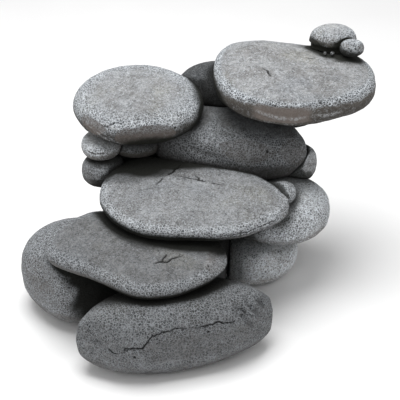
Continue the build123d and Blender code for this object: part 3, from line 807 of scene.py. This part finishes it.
# ---------------------------------------------------------------- build the stones
pieces = {node: rough_stone(node) for node in stones}
everything = tree_of(pieces.values())
for node, piece in pieces.items():
    mesh = piece.data
    edges = edges_of(mesh)
    set_values(mesh, "rim", rims(mesh))
    set_values(mesh, "hollow", hollows(mesh, everything))
    set_values(mesh, "top", 0.5 + 0.5 * blurred(normals_of(mesh)[:, 2], edges, 3)[:, 0])
for node, piece in pieces.items():
    weather(node, piece)
    mark(node, piece)
    piece.data.materials.append(stone_material(node + "_stone", *LOOKS[node]))
    piece.data.shade_smooth()
    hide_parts(node)
    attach(piece, body_of_node[node])


# ---------------------------------------------------------------- pump, water path and feet
def plastic(name, colour, rough):
    """Moulded plastic: faint flow marks and a fine grain."""
    n = Nodes(name)
    flow = n.noise(60, 3, 0.6, 1.0)
    grain = n.noise(2600, 2, 0.6)
    dark = tuple(0.8 * part for part in colour) + (1,)
    light = tuple(min(1.0, 1.25 * part) for part in colour) + (1,)
    shade = n.mix(n.spread(flow, 0.3, 0.7), dark, light)
    sheen = n.spread(flow, 0.3, 0.7, rough - 0.08, rough + 0.1)
    return n.finish(shade, sheen, n.bump(grain, 0.0001, 0.5))


def rubber(name):
    """Black rubber with a dusty bloom."""
    n = Nodes(name)
    bloom = n.noise(140, 4, 0.65)
    grain = n.noise(1800, 3, 0.7)
    shade = n.mix(n.spread(bloom, 0.42, 0.75), grey(0.018, 0.02), grey(0.060, 0.03))
    sheen = n.spread(bloom, 0.3, 0.7, 0.70, 0.92)
    return n.finish(shade, sheen, n.bump(grain, 0.0002, 0.6))


def metal(name, colour, stretch, rough):
    """Drawn or turned metal: fine lines one way, and a little tarnish."""
    n = Nodes(name)
    lines = n.noise(1.0, 3, 0.6, place=n.stretched(*stretch))
    tarnish = n.noise(110, 4, 0.6)
    dull = tuple(0.55 * part for part in colour) + (1,)
    shade = n.mix(n.spread(tarnish, 0.5, 0.75, 0, 0.7), colour + (1,), dull)
    n.shader.inputs["Metallic"].default_value = 1.0
    sheen = n.spread(lines, 0.3, 0.7, rough, rough + 0.2)
    return n.finish(shade, sheen, n.bump(lines, 0.00008, 0.5))


def laminations(name):
    """The edges of a pump's stacked steel sheets."""
    n = Nodes(name)
    sheets = n.bands(320, "X")
    rust = n.noise(240, 4, 0.6)
    shade = n.mix(n.spread(sheets, 0.1, 0.35), grey(0.05), grey(0.38, 0.01))
    shade = n.mix(n.spread(rust, 0.58, 0.72, 0, 0.6), shade, (0.16, 0.07, 0.03, 1))
    n.shader.inputs["Metallic"].default_value = 0.85
    return n.finish(shade, n.spread(rust, 0.3, 0.7, 0.35, 0.6), n.bump(sheets, 0.0003, 0.7))


def winding(name):
    """Turns of enamelled copper wire, with painted shade in the grooves between them."""
    n = Nodes(name)
    turns = n.bands(420, "Y", 0.6)
    enamel = n.noise(300, 2, 0.5)
    # painted shade: the grooves between the turns are darkened
    shade = n.mix(n.spread(turns, 0.05, 0.5), (0.10, 0.025, 0.010, 1), (0.62, 0.22, 0.09, 1))
    n.shader.inputs["Metallic"].default_value = 0.9
    return n.finish(shade, n.spread(enamel, 0.3, 0.7, 0.22, 0.4), n.bump(turns, 0.0005, 0.9))


def ceramic(name):
    """Polished ceramic, faintly clouded."""
    n = Nodes(name)
    cloud = n.noise(500, 3, 0.6)
    shade = n.mix(n.spread(cloud, 0.35, 0.65), (0.80, 0.78, 0.72, 1), (0.88, 0.87, 0.83, 1))
    return n.finish(shade, n.spread(cloud, 0.3, 0.7, 0.12, 0.25))


def clear_plastic(name):
    """Clear soft tube, hazed on the inside by lime."""
    n = Nodes(name)
    haze = n.noise(160, 4, 0.6)
    shade = n.mix(n.spread(haze, 0.45, 0.7), (0.86, 0.92, 0.92, 1), (0.70, 0.74, 0.70, 1))
    n.shader.inputs["Transmission Weight"].default_value = 0.75
    n.shader.inputs["IOR"].default_value = 1.45
    return n.finish(shade, n.spread(haze, 0.3, 0.7, 0.12, 0.4), n.bump(haze, 0.0002, 0.4))


def foam(name):
    """Open-celled foam, with painted shade darkening its cells."""
    n = Nodes(name)
    cells = n.cells(620, n.warped(400, 0.001))
    stain = n.noise(70, 3, 0.6)
    # painted shade: the middles of the cells are darkened
    shade = n.mix(n.spread(cells, 0.02, 0.22), (0.11, 0.115, 0.12, 1), (0.012, 0.012, 0.014, 1))
    shade = n.mix(n.spread(stain, 0.5, 0.7, 0, 0.5), shade, (0.07, 0.075, 0.045, 1))
    return n.finish(shade, 0.95, n.bump(n.spread(cells, 0.0, 0.25, 1, 0), 0.0009, 0.9))


MADE_OF = {
    "pump_plastic": plastic("pump_casing", (0.035, 0.040, 0.045), 0.42),
    "dial_plastic": plastic("grey_dial", (0.20, 0.22, 0.24), 0.40),
    "clamp_plastic": plastic("nylon_clamp", (0.55, 0.54, 0.50), 0.45),
    "rotor": plastic("ferrite_rotor", (0.028, 0.026, 0.026), 0.55),
    "rubber": rubber("black_rubber"),
    "ceramic": ceramic("white_ceramic"),
    "core_steel": laminations("core_sheets"),
    "coil_copper": winding("copper_wire"),
    "clear_tube": clear_plastic("clear_tube"),
    "nozzle_brass": metal("brass", (0.80, 0.58, 0.26), (900, 900, 6000), 0.22),
    "pin_steel": metal("stainless_steel", (0.62, 0.62, 0.60), (4000, 4000, 300), 0.25),
    "foam": foam("filter_foam"),
}
for node, slot in slots.items():
    if slot in MADE_OF:
        for row in frame["nodes"][node].material_slots:
            row.material = MADE_OF[slot]


def foam_block(node):
    """The filter foam: a soft-edged block whose faces are pitted with its cells."""
    low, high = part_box(node)
    mesh = frame["nodes"][node].data.copy()
    mesh.materials.clear()
    piece = new_piece("filter_" + node, mesh)
    remeshed(piece, SMALL_VOXEL)
    co = blurred(points_of(piece.data), edges_of(piece.data), DOOR_STEPS)
    set_points(piece.data, np.clip(co, np.array(low), np.array(high)))
    finer = piece.modifiers.new("finer", "SUBSURF")
    finer.levels = finer.render_levels = 1
    cells = bpy.data.textures.new("foam_cells", "VORONOI")
    cells.noise_scale = FOAM_CELL
    pits = piece.modifiers.new("cells", "DISPLACE")
    pits.texture = cells
    pits.texture_coords = "GLOBAL"
    pits.strength = FOAM_PIT
    pits.mid_level = 0.8
    apply_modifiers(piece)
    piece.data.materials.append(MADE_OF["foam"])
    piece.data.shade_smooth()
    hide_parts(node)
    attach(piece, body_of_node[node])


foam_block("intake_sponge")


# ---------------------------------------------------------------- floor, light and camera
def floor_material():
    n = Nodes("pale_floor")
    wear = n.noise(6, 2, 0.5)
    return n.finish(n.mix(n.spread(wear, 0.3, 0.7), grey(0.93), grey(0.95)), 0.9)


def area_light(name, place, aim, size, power):
    data = bpy.data.lights.new(name, "AREA")
    data.shape = "DISK"
    data.size = size
    data.energy = power
    light = new_piece(name, data)
    light.location = place
    light.rotation_euler = (Vector(aim) - Vector(place)).to_track_quat("-Z", "Y").to_euler()


TARGET = Vector((0.0015, 0, 0.130))     # what the camera looks at
DISTANCE = 1.3
ELEVATION = math.radians(30)
LENS = 117                  # in mm, with the sensor's width
SENSOR = 36
FLOOR_SIZE = 12
SURROUND = 0.5              # strength of the white light from all round

bpy.ops.mesh.primitive_plane_add(size=FLOOR_SIZE, location=(0, 0, 0))
floor = bpy.context.object
floor.name = "floor"
floor.data.materials.append(floor_material())

world = bpy.data.worlds.new("studio")
world.use_nodes = True
world.node_tree.nodes["Background"].inputs["Color"].default_value = (1, 1, 1, 1)
world.node_tree.nodes["Background"].inputs["Strength"].default_value = SURROUND
bpy.context.scene.world = world
area_light("overhead", (-0.15, 0.1, 1.3), aim=(0, 0.05, 0.1), size=1.1, power=17)
area_light("front_fill", (-0.6, -1.3, 1.0), aim=(0, 0, 0.1), size=1.0, power=2.5)

camera_data = bpy.data.cameras.new("camera")
camera_data.lens = LENS
camera_data.sensor_width = SENSOR
camera = new_piece("camera", camera_data)
back = Vector((0, -math.cos(ELEVATION), math.sin(ELEVATION)))
camera.location = TARGET + back * DISTANCE
camera.rotation_euler = (-back).to_track_quat("-Z", "Y").to_euler()
bpy.context.scene.camera = camera
bpy.context.scene.view_settings.view_transform = "Standard"
